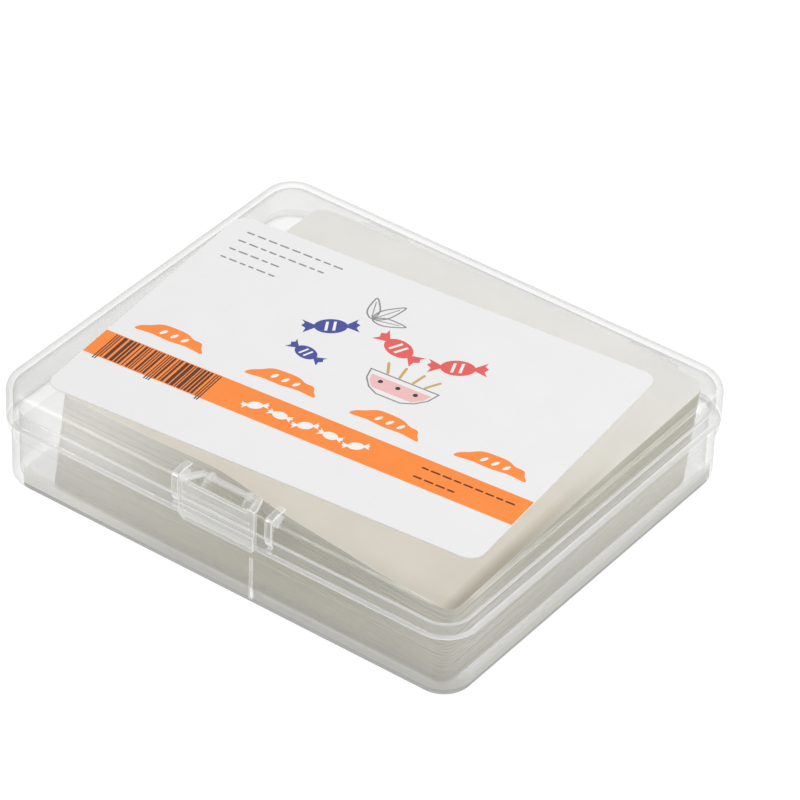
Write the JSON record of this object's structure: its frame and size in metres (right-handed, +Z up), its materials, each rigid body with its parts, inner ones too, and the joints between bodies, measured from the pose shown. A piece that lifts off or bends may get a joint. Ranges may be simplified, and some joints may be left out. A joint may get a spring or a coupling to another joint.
{
  "type": "stack of wafer paper in a hinged box",
  "caption": "Shallow clear plastic box with a hinged lid, a front flap latch and a paper label, holding a stack of edible wafer paper sheets.",
  "frame": {"origin": "centre of the box's flat foot", "axes": "+X along the box's long side, +Z up, -Y towards the latch, +Y towards the hinges"},
  "size_m": [0.09, 0.0805, 0.0209],
  "materials": {
    "clear_plastic": "slightly milky clear moulded plastic, satin gloss",
    "wafer_paper": "matt, off-white to pale olive cream, thin translucent sheets",
    "label_paper": "matt white printed label with a bright orange band"
  },
  "bodies": {
    "base": {"base_box": "clear_plastic", "paper_stack": "wafer_paper"},
    "lid": {"box_lid": "clear_plastic", "top_label": "label_paper"},
    "latch": {"latch_flap": "clear_plastic"}
  },
  "joints": [
    {"name": "lid_hinge", "type": "hinge", "parent": "base", "child": "lid", "pos_m": [0, 0.0397, 0.012], "axis": [-1, 0, 0], "range_deg": [0, 180]},
    {"name": "latch_hinge", "type": "hinge", "parent": "lid", "child": "latch", "pos_m": [0.00085, -0.0354, 0.02], "axis": [-1, 0, 0], "range_deg": [0, 90]}
  ]
}
